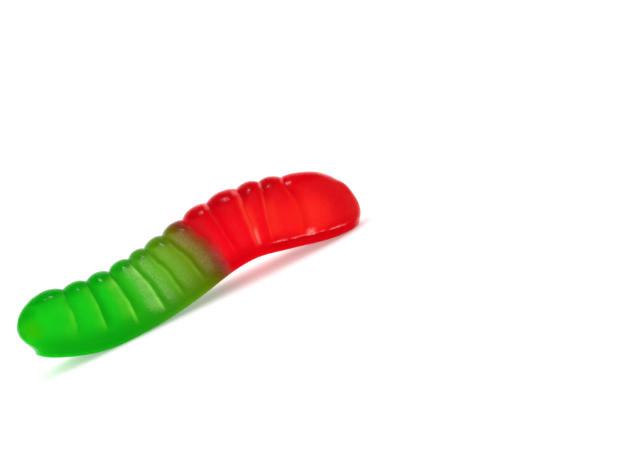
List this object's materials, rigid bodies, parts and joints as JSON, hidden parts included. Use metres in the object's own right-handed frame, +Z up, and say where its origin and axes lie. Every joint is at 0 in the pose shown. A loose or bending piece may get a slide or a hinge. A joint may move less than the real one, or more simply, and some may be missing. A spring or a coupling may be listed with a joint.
{
  "type": "gummy worm",
  "caption": "Soft gelatine worm sweet, green at the tail and red at the head, with a flat moulded base, a domed back ringed by ridges, smooth rounded ends and a gentle bend.",
  "frame": {"origin": "bottom centre of the bounding box, on the surface that the worm lies on", "axes": "+X along the worm from its green tail to its red head, +Z up through its ridged back; the side that the picture shows faces -Y"},
  "size_m": [0.0588, 0.0132, 0.0147],
  "materials": {
    "jelly": null
  },
  "bodies": {
    "root": {"gummy_worm": "jelly"}
  },
  "joints": []
}
